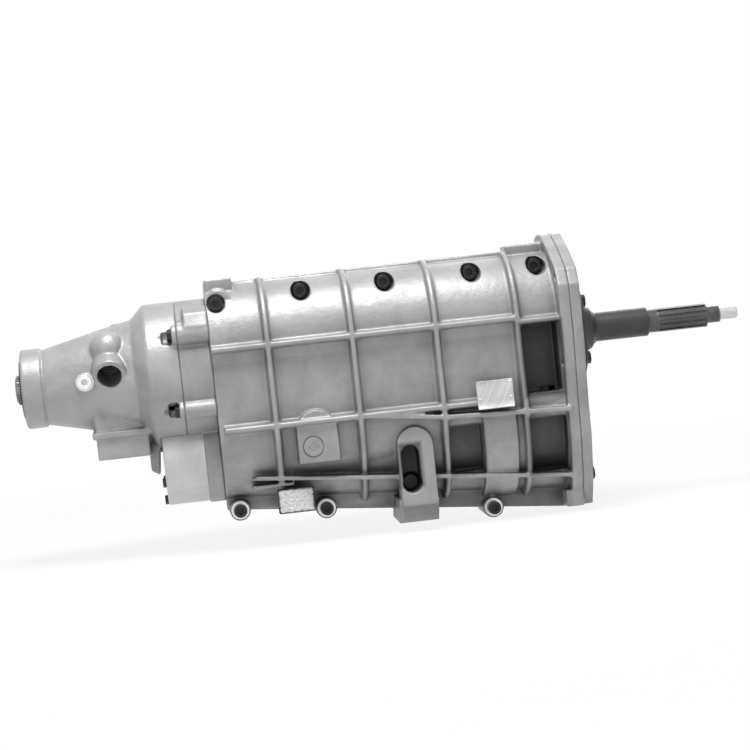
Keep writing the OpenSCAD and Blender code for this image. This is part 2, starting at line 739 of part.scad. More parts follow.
// The row of clamp bolt shanks, as holes of radius r.
module clamp_holes(r) {
  for (x = top_bolts_x)
    ycyl(r, -60, 32, x, clamp_z);
  for (b = low_bolts)
    ycyl(r, -60, 32, b[0], b[1]);
  ycyl(r, -60, 16, slot_x, slot_bolt_z);
  ycyl(r, -70, 16, rear_bolt[0], rear_bolt[1]);
}

module case_right() {
  color("LightGray")
    difference() {
      union() {
        difference() {
          half_skin(right_w, -1);
          cavity();
          belly(right_w);
        }
        // The sleeves of the clamp bolts that cross the sump and the rear bay.
        ycyl(11, -62, 0, slot_x, slot_bolt_z);
        ycyl(11, -62, 0, rear_bolt[0], rear_bolt[1]);
        // The arch around the deep clamp bolt pocket, and the drain block under it.
        difference() {
          union() {
            ycyl(21, -right_w, -50, slot_x + 7, -110);
            box([slot_x - 14, -right_w, -182], [slot_x + 28, -50, -110]);
            yprism([[slot_x - 17, -174], [slot_x + 30, -174], [slot_x + 27, -201],
              [slot_x - 20, -201]], 6 - right_w, 0);
          }
          xcyl(60.5, slot_x - 40, slot_x + 40, 0, cz);
        }
        // The fill boss.
        difference() {
          union() {
            ycyl(24, fill_y, -50, -320, -81);
            box([-344, fill_y, -118], [-296, -50, -81]);
          }
          xcyl(56, -350, -290, 0, cz);
          xcyl(76.5, -350, -290);
        }
        // The pad behind the blank plate.
        box([-128, -right_w - rib_h, -74], [-92, -66, -50]);
        // Two short fins at the rear.
        for (z = [-131, -141])
          box([-400, -66, z - 2], [-352, -20, z + 2]);
        // A rough cast lump under the rear bay.
        difference() {
          yprism([[-371, -173], [-334, -175], [-329, -160], [-338, -150], [-366, -148]], -66, -10);
          xcyl(54, -380, -320, 0, cz);
        }
        // Bolt lugs of the front flange.
        box([-33, -66, -206], [front_x, -38, -186]);
      }
      // The top bolts' pockets.
      for (x = top_bolts_x)
        ycyl(clamp_pocket_r, -110, -34, x, clamp_z);
      ycyl(10.5, -110, -58, rear_bolt[0], rear_bolt[1]);
      // The deep pocket: a slot that ends at the bolt's head.
      ycyl(10.5, -120, -62, slot_x, -120.5);
      box([slot_x - 10.5, -120, slot_bolt_z], [slot_x + 10.5, -62, -120.5]);
      ycyl(11.5, -120, -50, slot_x, slot_bolt_z);
      // The low bolts' faces.
      for (b = low_bolts)
        ycyl(11.4, -70, -27, b[0], b[1]);
      clamp_holes(5.1);
      // The front bays' deep pockets.
      box([-70, -130, -66], [-28, -57, 15]);
      difference() {
        box([-70, -130, -160], [-28, -20, -95]);
        xcyl(74, -75, -25, 0, cz);
      }
      difference() {
        box([-166, -130, -150], [-128, -20, -94]);
        xcyl(70, -170, -120, 0, cz);
      }
      // Fill and drain holes.
      ycyl(9.5, -110, -30, -326, -99);
      ycyl(12, -110, fill_y + 2, -326, -99);
      zcyl(8.5, -210, -150, slot_x + 19, -26);
      plate_bolt_holes(4);
      bell_holes();
      tail_bolt_holes(4);
      box([case_rear_x - 10, 0, -300], [10, 300, 300]);
    }
}
module case_left() {
  color("LightGray")
    difference() {
      union() {
        difference() {
          half_skin(left_w, 1);
          cavity();
          belly(left_w);
          xprism([[0, 73], [left_w - 30, 73], [left_w - 14, 58], [left_w - 8, 40],
            [left_w - 8, -40], [0, -60]], case_rear_x - 1, hub45_x + 29);
          xcyl(36, case_rear_x - 1, gr_x0 + reverse_w + 0.5, idle_cy, idle_cz);
        }
        ycyl(11, 0, 32, slot_x, slot_bolt_z);
        ycyl(11, 0, 32, rear_bolt[0], rear_bolt[1]);
        // Bearing bosses of the lever shafts.
        for (c = [hub45_x, hub23_x, hub1r_x])
          ycyl(18, left_w - 8, left_w + 20, c, 0);
        // The bracket of the idler shaft.
        xcyl(16, gr_x0 + reverse_w + 1, gr_x0 + reverse_w + 13, idle_cy, idle_cz);
        box([gr_x0 + reverse_w + 1, idle_cy, idle_cz - 14],
          [gr_x0 + reverse_w + 13, left_w - 7, idle_cz + 10]);
      }
      xcyl(10.01, gr_x0, gr_x0 + reverse_w + 12, idle_cy, idle_cz);
      clamp_holes(4.9);
      for (c = [hub45_x, hub23_x, hub1r_x])
        ycyl(lever_shaft_r + run_gap, left_w - 26, left_w + 30, c, 0);
      plate_bolt_holes(4);
      bell_holes();
      tail_bolt_holes(4);
      xcyl(rail_r + 0.01, case_rear_x - 20, wall_x + 12, rail_y, rail_z);
      box([case_rear_x - 10, -300, -300], [10, 0, 300]);
    }
}
module clamp_bolts() {
  color("DarkSlateGray") {
    for (x = top_bolts_x)
      cap_bolt_y(x, -34, clamp_z, 4.9, 60);
    for (b = low_bolts)
      cap_bolt_y(b[0], -30, b[1], 4.9, 50);
    cap_bolt_y(slot_x, -50, slot_bolt_z, 4.9, 60);
    cap_bolt_y(rear_bolt[0], -58, rear_bolt[1], 4.9, 70);
  }
}
module clamp_washers() {
  color("White")
    for (b = low_bolts)
      difference() {
        ycyl(10.8, -30, -27, b[0], b[1]);
        ycyl(5.1, -31, -26, b[0], b[1]);
      }
}
module fill_plug() {
  color("DimGray")
    difference() {
      union() {
        ycyl(9.4, fill_y + 1, fill_y + 30, -326, -99);
        ycyl(11, fill_y - 1, fill_y + 2, -326, -99);
      }
      translate([-326, -110, -99]) rotate([-90, 0, 0]) cylinder(r = 6, h = 20, $fn = 4);
    }
}
module drain_plug() {
  color("DimGray")
    difference() {
      union() {
        zcyl(8.4, -201, -168, slot_x + 19, -26);
        zcyl(11.5, -205, -201, slot_x + 19, -26);
      }
      translate([slot_x + 19, -26, -212]) cylinder(r = 5, h = 16, $fn = 4);
    }
}
module blank_plate() {
  color("WhiteSmoke")
    box([-131, -right_w - rib_h - 1.2, -78], [-88, -right_w - rib_h, -45]);
}

// ---- Front plate and retainer ----

// The holes that fix the clutch housing to the plate and the case behind it.
module bell_holes() {
  for (y = [-bell_y, bell_y])
    for (z = [bell_z0, bell_z1])
      xcyl(5.5, front_x - 14, 1, y, z);
}
// The holes that screw the front plate to the case.
module plate_bolt_holes(r) {
  for (p = plate_bolts_yz)
    xcyl(r, front_x - 9, 5, p[0], p[1]);
}
module front_plate() {
  color("LightGray")
    difference() {
      xprism(both_sides(face_pts), front_x, 0);
      xcyl(41, front_x - 1, 1);
      xcyl(22, front_x - 1, front_x + 3, 0, cz);
      plate_bolt_holes(4.1);
      for (a = [45 : 90 : 315])
        xcyl(4.1, front_x - 1, 1, retainer_pcr * cos(a), retainer_pcr * sin(a));
      bell_holes();
    }
}
module front_bolts() {
  color("DarkSlateGray") {
    for (p = plate_bolts_yz)
      hex_bolt_x(0, p[0], p[1], 4, 20, 1);
    for (a = [45 : 90 : 315])
      hex_bolt_x(register_t, retainer_pcr * cos(a), retainer_pcr * sin(a), 4, 24, 1);
  }
}
module bearing_retainer() {
  color("DimGray")
    difference() {
      union() {
        xturn([[-3, 30], [-3, 40.9], [0, 40.9], [0, register_r], [register_t - 1, register_r],
          [register_t, register_r - 1], [register_t, 34], [register_t + 2, 31], [27, 25], [30, 21],
          [34, collar_r], [collar_x - 1, collar_r],
          [collar_x, collar_r - 1], [collar_x, 15.2], [32, 15.2], [28, 22], [16, 24], [2, 30]]);
      }
      for (a = [45 : 90 : 315])
        xcyl(4.1, -1, register_t + 1, retainer_pcr * cos(a), retainer_pcr * sin(a));
    }
}
module front_seal() {
  color("Black")
    difference() {
      xturn([[17, 14 + run_gap], [17, 23.7], [26, 22.2], [26, 19], [20, 19], [20, 16],
        [24, 14 + run_gap]]);
    }
}

// ---- Rear bearing plate, tail housing and cover ----

// The holes of the tail housing's bolts.
module tail_bolt_holes(r) {
  for (p = tail_ears)
    xcyl(r, case_rear_x - 60, case_rear_x + 16, p[0], p[1]);
}
module rear_bearing_plate() {
  x1 = case_rear_x;
  color("Gainsboro")
    difference() {
      union() {
        xcyl(barrel_r, tail_front_x, x1);
        xcyl(cover_r + 2, x1 - 19, x1, 0, cz);
        box([x1 - 19, -44, cz], [x1, 44, -40]);
        xcyl(38, x1 - 19, x1, idle_cy, idle_cz);
        for (p = tail_ears)
          xcyl(p[1] > 0 ? 13 : 10.5, tail_front_x, x1, p[0], p[1]);
        for (s = [0, 1])
          mirror([0, s, 0]) {
            xprism([[50, 62], [ear_y + 3, 61], [ear_y + 12, 50], [ear_y + 11, 40], [55, 30]],
              tail_front_x, x1);
            xprism([[38, 76], [ear_y - 13, 77], [ear_y + 4, 70], [ear_y + 12, 54], [ear_y + 11, 40],
              [55, 30]], x1 - 28, x1);
          }
        xcyl(16, x1 - 19, x1, rail_y, rail_z);
      }
      xcyl(45, x1 - 30, x1 + 1);
      xcyl(39, tail_front_x - 1, x1 - 20);
      xcyl(40.02, x1 - 40, x1 + 1, 0, cz);
      xcyl(cover_r + 0.01, x1 - 40, x1 - 19, 0, cz);
      xcyl(10.01, x1 - 12, x1 + 1, idle_cy, idle_cz);
      xcyl(rail_r + 0.01, x1 - 10, x1 + 1, rail_y, rail_z);
      tail_bolt_holes(4.1);
      cover_bolt_holes(3.1);
    }
}
// The holes of the rear cover's bolts.
module cover_bolt_holes(r) {
  for (a = cover_bolts_a)
    xcyl(r, case_rear_x - 19 - cover_l - 1, case_rear_x - 8, 47.5 * cos(a), cz + 47.5 * sin(a));
}
module counter_rear_cover() {
  x1 = case_rear_x - 19;
  x0 = x1 - cover_l;
  color("Gainsboro")
    difference() {
      xturn([[x0, 0], [x0, cover_r - 1.5], [x0 + 1.5, cover_r], [x1, cover_r], [x1, 0]], 0, cz);
      xcyl(40, x1 - 20, x1 + 1, 0, cz);
      xcyl(34, x0 + 9, x1, 0, cz);
      cover_bolt_holes(3.1);
    }
}
// The inclined axis of the speedometer gear, with children along it.
module on_speedo_axis() {
  translate([speedo_x, -62, 10]) rotate([120, 0, 0]) children();
}
module tail_housing() {
  tx = tail_front_x;
  ex = tail_end_x;
  bx = barrel_end_x;
  px = -575;
  color("Gainsboro")
    difference() {
      union() {
        difference() {
          union() {
            xturn([[tx, 0], [tx, barrel_r], [bx + 3, barrel_r], [bx, barrel_r - 2],
              [bx - 14, barrel_r - 16], [-560, barrel_r - 24], [ex + band_l + 3, band_r - 2],
              [ex + band_l, band_r - 4.5], [ex + band_l, band_r - 1],
              [ex + band_l - 1, band_r], [ex + 1.5, band_r], [ex, band_r - 1.5], [ex, 0]]);
            for (p = tail_ears)
              xcyl(p[1] > 0 ? 12 : 10.5, tx - 6, tx, p[0], p[1]);
            // The speedometer gear's boss, under its own dome.
            on_speedo_axis() translate([0, 0, -56]) cylinder(r = 20, h = 62);
            zcyl(21, 5, 38, speedo_x, -40);
            translate([speedo_x, -40, 38]) sphere(21);
            // The mount pad with its flange.
            box([px, -46, -pad_z], [px + pad_l, 46, -30]);
            box([px - 4, -50, -66], [px + pad_l + 2, 50, -58]);
            // The gussets from the pad to the barrel.
            yprism([[-520, -30], [-520, -88], [-503, -84], [-503, -30]], -8, 8);
            yprism([[-516, -80], [-516, -112], [-506, -118], [-502, -80]], -14, 14);
            box([-545, -5, 40], [-515, 5, 66]);
          }
          xturn([[tx + 1, 0], [tx + 1, barrel_r - 8], [bx + 6, barrel_r - 8],
            [bx - 8, barrel_r - 25], [-560, barrel_r - 33], [-592, band_r - 11],
            [-596, 27], [ex + 18, 27], [ex + 18, 34], [ex - 1, 34], [ex - 1, 0]]);
        }
        // The saddle over the countershaft's rear cover.
        intersection() {
          xcyl(cover_r + 6, case_rear_x - 19 - cover_l - 5, tx, 0, cz);
          xcyl(barrel_r - 4, -520, tx);
        }
        on_speedo_axis() translate([0, 0, -22]) cylinder(r = 18, h = 20);
        ycyl(10, -62, -40, speedo_x - 29, 3);
      }
      xcyl(cover_r + 0.01, case_rear_x - 19 - cover_l - 0.01, tx + 1, 0, cz);
      on_speedo_axis() translate([0, 0, -30]) cylinder(r = speedo_r, h = 50);
      ycyl(4, -70, -44, speedo_x - 29, 3);
      ycyl(10.8, -76, -62, speedo_x - 29, 3);
      for (y = [-pad_pitch / 2, pad_pitch / 2])
        zcyl(5, -pad_z - 1, -pad_z + 22, px + pad_l / 2, y);
      tail_bolt_holes(4.1);
      // The notches that clear the bolts' heads.
      for (p = tail_ears)
        xcyl(10, tx - 18, tx - 6, p[0] * 1.02, p[1]);
    }
}
module tail_bolts() {
  color("DarkSlateGray")
    for (p = tail_ears)
      hex_bolt_x(tail_front_x - 6, p[0], p[1], 4, 58, -1);
}
module cover_bolts() {
  x0 = case_rear_x - 19 - cover_l;
  color("DarkSlateGray")
    for (a = cover_bolts_a)
      hex_bolt_x(x0, 47.5 * cos(a), cz + 47.5 * sin(a), 3, 58, -1);
}
module rear_bushing() {
  color("DarkGoldenrod") xtube(27, bush_r, tail_end_x + 20, -597);
}
module rear_seal() {
  color("Black")
    xturn([[tail_end_x - 2, 26], [tail_end_x - 2, 34.5], [tail_end_x, 35.5], [tail_end_x, 34],
      [tail_end_x + 16, 34], [tail_end_x + 16, 31], [tail_end_x + 3, 31], [tail_end_x + 6, 24.1],
      [tail_end_x + 4, 24.1]]);
}
module speedo_clip_bolt() {
  x = speedo_x - 29;
  color("White")
    difference() {
      union() {
        ycyl(3.98, -64, -45, x, 3);
        ycyl(10.5, -64, -62, x, 3);
        ycyl(8, -70, -64, x, 3);
      }
      translate([x, -71, 3]) rotate([-90, 0, 0]) cylinder(r = 4, h = 5, $fn = 6);
    }
}

case_right();
case_left();
front_plate();
bearing_retainer();
front_bolts();
clamp_bolts();
clamp_washers();
rear_bearing_plate();
tail_housing();
tail_bolts();
cover_bolts();
rear_seal();
rear_bushing();
speedo_clip_bolt();
counter_rear_cover();
fill_plug();
drain_plug();
blank_plate();
front_seal();
main_outer_races();
counter_outer_races();
idler_shaft();
shift_rail();
input_shaft();
input_bearing_inner();
input_bearing_balls();
pilot_rollers();
countershaft();
counter_drive_gear();
counter_gear_4();
counter_gear_3();
counter_gear_2();
counter_inner_races();
counter_balls();
mainshaft();
hub_45();
hub_23();
hub_1r();
blocker_rings();
speedo_drive_gear();
rear_bearing_inner();
rear_bearing_balls();
gear_4th();
gear_3rd();
gear_2nd();
gear_1st();
gear_reverse();
idler_gear();
sleeve_45();
sleeve_23();
sleeve_1r();
fork_45();
fork_23();
fork_1r();
lever_shaft_45();
lever_shaft_23();
lever_shaft_1r();
lever_45();
lever_23();
lever_1r();
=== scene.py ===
import math

import bmesh
import bpy
import numpy as np
from mathutils import Matrix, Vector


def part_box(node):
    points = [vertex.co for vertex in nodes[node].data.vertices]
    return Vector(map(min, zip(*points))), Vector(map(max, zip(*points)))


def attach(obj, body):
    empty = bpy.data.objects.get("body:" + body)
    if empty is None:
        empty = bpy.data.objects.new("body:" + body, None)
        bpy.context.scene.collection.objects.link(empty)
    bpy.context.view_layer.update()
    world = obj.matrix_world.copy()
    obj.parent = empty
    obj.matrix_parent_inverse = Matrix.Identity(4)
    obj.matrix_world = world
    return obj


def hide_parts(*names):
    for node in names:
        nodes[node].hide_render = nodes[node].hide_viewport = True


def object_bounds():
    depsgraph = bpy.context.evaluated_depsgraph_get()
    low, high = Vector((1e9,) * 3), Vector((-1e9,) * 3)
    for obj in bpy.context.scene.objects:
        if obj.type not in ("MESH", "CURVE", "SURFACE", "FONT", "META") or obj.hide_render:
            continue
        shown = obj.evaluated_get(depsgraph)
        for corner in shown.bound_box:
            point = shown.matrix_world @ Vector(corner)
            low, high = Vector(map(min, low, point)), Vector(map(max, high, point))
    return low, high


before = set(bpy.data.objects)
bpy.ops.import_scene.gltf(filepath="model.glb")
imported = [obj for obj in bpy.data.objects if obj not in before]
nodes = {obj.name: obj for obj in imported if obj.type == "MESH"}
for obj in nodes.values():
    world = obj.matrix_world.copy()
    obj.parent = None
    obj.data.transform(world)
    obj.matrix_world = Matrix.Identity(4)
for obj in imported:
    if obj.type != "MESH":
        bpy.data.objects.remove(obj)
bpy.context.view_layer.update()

# ---- Countershaft and its gears ----
# A case-hardened shaft carries four pressed-on gears, and two more are cut into it.
# The teeth are ground bright, and the blanks keep the grey of the hardening.


def add(tree, kind, inputs=None, **settings):
    """Adds one node. inputs maps a socket's name or number to a value or to another node's output."""
    node = tree.nodes.new(kind)
    for key, value in settings.items():
        setattr(node, key, value)
    for key, value in (inputs or {}).items():
        if isinstance(value, bpy.types.NodeSocket):
            tree.links.new(value, node.inputs[key])
        else:
            node.inputs[key].default_value = value
    return node


def sums(tree, operation, a, b=0.0, c=None, clamp=False):
    """One Math node's output."""
    inputs = {0: a, 1: b} if c is None else {0: a, 1: b, 2: c}
    return add(tree, "ShaderNodeMath", inputs, operation=operation, use_clamp=clamp).outputs[0]


def ramp(tree, value, low, high, to_low=0.0, to_high=1.0):
    """Carries a value from the range low..high to to_low..to_high, held at the ends."""
    inputs = {"Value": value, "From Min": low, "From Max": high, "To Min": to_low, "To Max": to_high}
    return add(tree, "ShaderNodeMapRange", inputs).outputs[0]


def blend_colour(tree, share, a, b, kind="MIX"):
    """Mixes colour a with colour b by a share from 0 to 1."""
    node = add(tree, "ShaderNodeMix", {0: share, 6: a, 7: b}, data_type="RGBA", blend_type=kind)
    return node.outputs[2]


def new_group(name, inputs, outputs):
    """A shader node group with these named float inputs and these (name, socket kind) outputs."""
    tree = bpy.data.node_groups.new(name, "ShaderNodeTree")
    for label, value in inputs.items():
        tree.interface.new_socket(label, in_out="INPUT", socket_type="NodeSocketFloat").default_value = value
    for label, kind in outputs.items():
        tree.interface.new_socket(label, in_out="OUTPUT", socket_type=kind)
    start = tree.nodes.new("NodeGroupInput")
    end = tree.nodes.new("NodeGroupOutput")
    return tree, start.outputs, end.inputs


def turned_marks():
    """Fine rings left by turning or grinding about the X axis: 1-D noise of x plus the radius, so faces get rings and sides get lines."""
    tree, given, out = new_group("turned marks", {"Axis Z": 0.0, "Per Metre": 2500.0}, {"Lines": "NodeSocketFloat", "Stain": "NodeSocketFloat"})
    place = add(tree, "ShaderNodeTexCoord").outputs["Object"]
    parts = add(tree, "ShaderNodeSeparateXYZ", {0: place}).outputs
    z = sums(tree, "SUBTRACT", parts[2], given["Axis Z"])
    radius = sums(tree, "SQRT", sums(tree, "ADD", sums(tree, "MULTIPLY", parts[1], parts[1]), sums(tree, "MULTIPLY", z, z)))
    along = sums(tree, "MULTIPLY", sums(tree, "ADD", radius, parts[0]), given["Per Metre"])
    lines = add(tree, "ShaderNodeTexNoise", {"W": along, "Scale": 1.0, "Detail": 2.0}, noise_dimensions="1D")
    stain = add(tree, "ShaderNodeTexNoise", {"Vector": place, "Scale": 45.0, "Detail": 5.0, "Roughness": 0.6})
    tree.links.new(lines.outputs[0], out["Lines"])
    tree.links.new(stain.outputs[0], out["Stain"])
    return tree


def worn_edges():
    """Edges found by comparing the true normal with one rounded over a small radius; Hollow is the shade of nooks."""
    tree, given, out = new_group("worn edges and painted nook shade", {"Radius": 0.001, "Reach": 0.02}, {"Edge": "NodeSocketFloat", "Hollow": "NodeSocketFloat", "Round": "NodeSocketVector"})
    soft = add(tree, "ShaderNodeBevel", {"Radius": given["Radius"]}, samples=6).outputs[0]
    true = add(tree, "ShaderNodeNewGeometry").outputs["Normal"]
    dot = add(tree, "ShaderNodeVectorMath", {0: soft, 1: true}, operation="DOT_PRODUCT").outputs["Value"]
    # painted shade: ambient occlusion gives the Hollow mask, which the finishes use to darken nooks
    shade = add(tree, "ShaderNodeAmbientOcclusion", {"Distance": given["Reach"]}, samples=6, only_local=True)
    tree.links.new(ramp(tree, dot, 0.995, 0.86), out["Edge"])
    tree.links.new(sums(tree, "SUBTRACT", 1.0, shade.outputs["AO"]), out["Hollow"])
    tree.links.new(soft, out["Round"])
    return tree


TURNED = turned_marks()
EDGE_WEAR_AND_NOOK_SHADE = worn_edges()


def finish_of(name, colour, metallic, roughness, build, coat=0.0):
    """A material whose build function gives its colour, roughness and bump height from the node tree."""
    made = bpy.data.materials.new(name)
    made.use_nodes = True
    tree = made.node_tree
    shader = tree.nodes["Principled BSDF"]
    shader.inputs["Metallic"].default_value = metallic
    shader.inputs["Coat Weight"].default_value = coat
    tone, rough, height, depth, normal = build(tree, (*colour, 1.0), roughness)
    tree.links.new(tone, shader.inputs["Base Color"])
    tree.links.new(rough, shader.inputs["Roughness"])
    bump = add(tree, "ShaderNodeBump", {"Height": height, "Distance": depth})
    if normal is not None:
        tree.links.new(normal, bump.inputs["Normal"])
    tree.links.new(bump.outputs[0], shader.inputs["Normal"])
    return made


def turned_steel(name, colour, roughness, axis_z=0.0, per_metre=2500.0, edge=1.6, depth=0.00004, stain=0.75, metallic=0.9):
    """Steel turned or ground about the X axis at the height axis_z, darker where oil has stained it, and darkened by
    painted shade in its nooks.
    """

    def build(tree, base, rough):
        marks = add(tree, "ShaderNodeGroup", node_tree=TURNED)
        marks.inputs["Axis Z"].default_value = axis_z
        marks.inputs["Per Metre"].default_value = per_metre
        rim = add(tree, "ShaderNodeGroup", node_tree=EDGE_WEAR_AND_NOOK_SHADE)
        rim.inputs["Radius"].default_value = 0.0006
        rim.inputs["Reach"].default_value = 0.006
        dull = blend_colour(tree, ramp(tree, marks.outputs["Stain"], 0.35, 0.7), base, [c * stain for c in base[:3]] + [1.0])
        lined = blend_colour(tree, ramp(tree, marks.outputs["Lines"], 0.3, 0.7, 0.0, 0.25), dull, (0.02, 0.02, 0.02, 1.0))
        bright = blend_colour(tree, sums(tree, "MULTIPLY", rim.outputs["Edge"], 0.6), lined, [min(1.0, c * edge) for c in base[:3]] + [1.0])
        # painted shade: near-black mixed in where ambient occlusion finds a nook
        nook_shaded = blend_colour(tree, sums(tree, "MULTIPLY", rim.outputs["Hollow"], 0.6), bright, (0.03, 0.027, 0.024, 1.0))
        shine = sums(tree, "ADD", ramp(tree, marks.outputs["Stain"], 0.3, 0.7, rough - 0.07, rough + 0.1), ramp(tree, marks.outputs["Lines"], 0.3, 0.7, -0.04, 0.04))
        return nook_shaded, shine, marks.outputs["Lines"], depth, rim.outputs["Round"]

    return finish_of(name, colour, metallic, roughness, build)


def dress(material, *names):
    """Gives each CAD node this material."""
    for name in names:
        nodes[name].data.materials.clear()
        nodes[name].data.materials.append(material)


COUNTER_Z = -0.1016
dress(turned_steel("hardened countershaft", (0.24, 0.24, 0.25), 0.34, COUNTER_Z), "countershaft")
dress(turned_steel("countershaft gears", (0.42, 0.42, 0.43), 0.3, COUNTER_Z), "counter_drive_gear", "counter_gear_4", "counter_gear_3", "counter_gear_2")

# ---- Main shaft, its gears and the reverse idler ----
# The gears are cut from alloy steel, hardened, and turn on the ground main shaft.
# Each hub is splined to the shaft, and a brass blocker ring stands at each side of it.

dress(turned_steel("ground main shaft", (0.3, 0.3, 0.31), 0.24), "mainshaft", "idler_shaft")
dress(turned_steel("main shaft gears", (0.46, 0.46, 0.47), 0.3), "gear_4th", "gear_3rd", "gear_2nd", "gear_1st", "gear_reverse", "idler_gear")
dress(turned_steel("hub steel", (0.38, 0.38, 0.4), 0.32), "hub_45", "hub_23", "hub_1r")
dress(turned_steel("blocker brass", (0.72, 0.53, 0.22), 0.3, edge=1.3, stain=0.8), "blocker_rings")
dress(turned_steel("speedometer gear nylon", (0.8, 0.78, 0.7), 0.5, edge=1.1, stain=0.9, metallic=0.0), "speedo_drive_gear")

# ---- Sliding sleeves, forks and their rail ----
# The sleeves are ground steel, and their forks are cast bronze that slides on one ground rail.

dress(turned_steel("sleeve steel", (0.5, 0.5, 0.51), 0.26), "sleeve_45", "sleeve_23", "sleeve_1r")
dress(turned_steel("rail steel", (0.6, 0.6, 0.61), 0.2, per_metre=4000.0), "shift_rail")


def cast_grain():
    """The skin of a sand casting: fine grains, sparse pits and wide mottled stains, each from noise of its own size."""
    tree, given, out = new_group("cast grain", {"Grains Per Metre": 900.0}, {"Grain": "NodeSocketFloat", "Mottle": "NodeSocketFloat", "Height": "NodeSocketFloat"})
    place = add(tree, "ShaderNodeTexCoord").outputs["Object"]
    fine = add(tree, "ShaderNodeTexNoise", {"Vector": place, "Scale": given["Grains Per Metre"], "Detail": 4.0, "Roughness": 0.65}).outputs[0]
    wide = add(tree, "ShaderNodeTexNoise", {"Vector": place, "Scale": 22.0, "Detail": 6.0, "Roughness": 0.62, "Distortion": 0.4}).outputs[0]
    cells = add(tree, "ShaderNodeTexVoronoi", {"Vector": place, "Scale": sums(tree, "MULTIPLY", given["Grains Per Metre"], 0.35)}, feature="F1").outputs["Distance"]
    pits = ramp(tree, cells, 0.08, 0.3)
    rolls = add(tree, "ShaderNodeTexNoise", {"Vector": place, "Scale": 140.0, "Detail": 2.0}).outputs[0]
    height = sums(tree, "MULTIPLY_ADD", pits, 0.35, sums(tree, "MULTIPLY_ADD", rolls, 1.1, sums(tree, "MULTIPLY", fine, 0.55)))
    tree.links.new(fine, out["Grain"])
    tree.links.new(wide, out["Mottle"])
    tree.links.new(height, out["Height"])
    return tree


CAST = cast_grain()


def in_block(tree, low, high, soft):
    """A mask that is 1 inside the block from low to high and falls to 0 over the distance soft outside it."""
    place = add(tree, "ShaderNodeTexCoord").outputs["Object"]
    middle = [(a + b) / 2 for a, b in zip(low, high)]
    half = [(b - a) / 2 for a, b in zip(low, high)]
    off = add(tree, "ShaderNodeVectorMath", {0: place, 1: middle}, operation="SUBTRACT").outputs[0]
    past = add(tree, "ShaderNodeVectorMath", {0: add(tree, "ShaderNodeVectorMath", {0: off}, operation="ABSOLUTE").outputs[0], 1: half}, operation="SUBTRACT").outputs[0]
    parts = add(tree, "ShaderNodeSeparateXYZ", {0: past}).outputs
    worst = sums(tree, "MAXIMUM", parts[0], sums(tree, "MAXIMUM", parts[1], parts[2]))
    return ramp(tree, worst, 0.0, soft, 1.0, 0.0)


def casting(name, colour, roughness, metallic=0.3, grains=900.0, depth=0.00035, edge=1.35, nook_shade_strength=0.85, round_over=0.0016, reach=0.03, seams=(), shade_blocks=()):
    """A sand-cast skin with rubbed edges, painted shade in its nooks, a thin dark line at each X in seams, and painted
    shade in each (low, high, share) block.
    """

    def build(tree, base, rough):
        skin = add(tree, "ShaderNodeGroup", node_tree=CAST)
        skin.inputs["Grains Per Metre"].default_value = grains
        rim = add(tree, "ShaderNodeGroup", node_tree=EDGE_WEAR_AND_NOOK_SHADE)
        rim.inputs["Radius"].default_value = round_over
        rim.inputs["Reach"].default_value = reach
        stained = blend_colour(tree, ramp(tree, skin.outputs["Mottle"], 0.38, 0.68), [min(1.0, c * 1.06) for c in base[:3]] + [1.0], [c * 0.8 for c in base[:3]] + [1.0])
        grainy = blend_colour(tree, ramp(tree, skin.outputs["Grain"], 0.35, 0.65, 0.0, 0.22), stained, [c * 0.55 for c in base[:3]] + [1.0])
        rubbed = blend_colour(tree, sums(tree, "MULTIPLY", rim.outputs["Edge"], 0.55), grainy, [min(1.0, c * edge) for c in base[:3]] + [1.0])
        # painted shade: near-black mixed in where ambient occlusion finds a nook
        painted_nook_shade = sums(tree, "MULTIPLY", ramp(tree, rim.outputs["Hollow"], 0.12, 0.75), nook_shade_strength)
        tone = blend_colour(tree, painted_nook_shade, rubbed, (0.045, 0.043, 0.041, 1.0))
        if seams:
            x = add(tree, "ShaderNodeSeparateXYZ", {0: add(tree, "ShaderNodeTexCoord").outputs["Object"]}).outputs[0]
            for seam in seams:
                line = ramp(tree, sums(tree, "ABSOLUTE", sums(tree, "SUBTRACT", x, seam)), 0.0003, 0.0009, 0.8, 0.0)
                tone = blend_colour(tree, line, tone, (0.05, 0.05, 0.05, 1.0))
        # painted shade: near-black mixed in inside each listed block, broken up by the mottle
        for low, high, share in shade_blocks:
            block_shade = sums(tree, "MULTIPLY", in_block(tree, low, high, 0.006), ramp(tree, skin.outputs["Mottle"], 0.3, 0.7, share, share * 0.8))
            tone = blend_colour(tree, block_shade, tone, (0.02, 0.019, 0.018, 1.0))
        dull = sums(tree, "ADD", ramp(tree, skin.outputs["Mottle"], 0.3, 0.7, rough - 0.06, rough + 0.1), sums(tree, "MULTIPLY", painted_nook_shade, 0.2))
        return tone, dull, skin.outputs["Height"], depth, rim.outputs["Round"]

    return finish_of(name, colour, metallic, roughness, build)


dress(casting("fork bronze", (0.6, 0.42, 0.2), 0.45, metallic=0.85, reach=0.01, depth=0.0002), "fork_45", "fork_23", "fork_1r")

# ---- Bearings ----
# Open ball bearings carry both shafts, and loose rollers carry the main shaft's nose.

dress(turned_steel("ground bearing rings", (0.66, 0.66, 0.68), 0.16, edge=1.3), "main_outer_races", "input_bearing_inner", "rear_bearing_inner")
dress(turned_steel("counter bearing rings", (0.66, 0.66, 0.68), 0.16, COUNTER_Z, edge=1.3), "counter_outer_races", "counter_inner_races")
dress(turned_steel("bearing balls", (0.75, 0.75, 0.77), 0.08, per_metre=6000.0, depth=0.00001, stain=0.95), "input_bearing_balls", "rear_bearing_balls", "counter_balls", "pilot_rollers")
dress(turned_steel("bushing bronze", (0.62, 0.44, 0.2), 0.35), "rear_bushing")

# ---- Case, plates and tail housing ----
# Aluminium sand castings: two ribbed case halves that meet on the shaft plane, a front
# plate, a rear bearing plate, the tail housing and the turned cover of the countershaft.

CELL = 0.0013


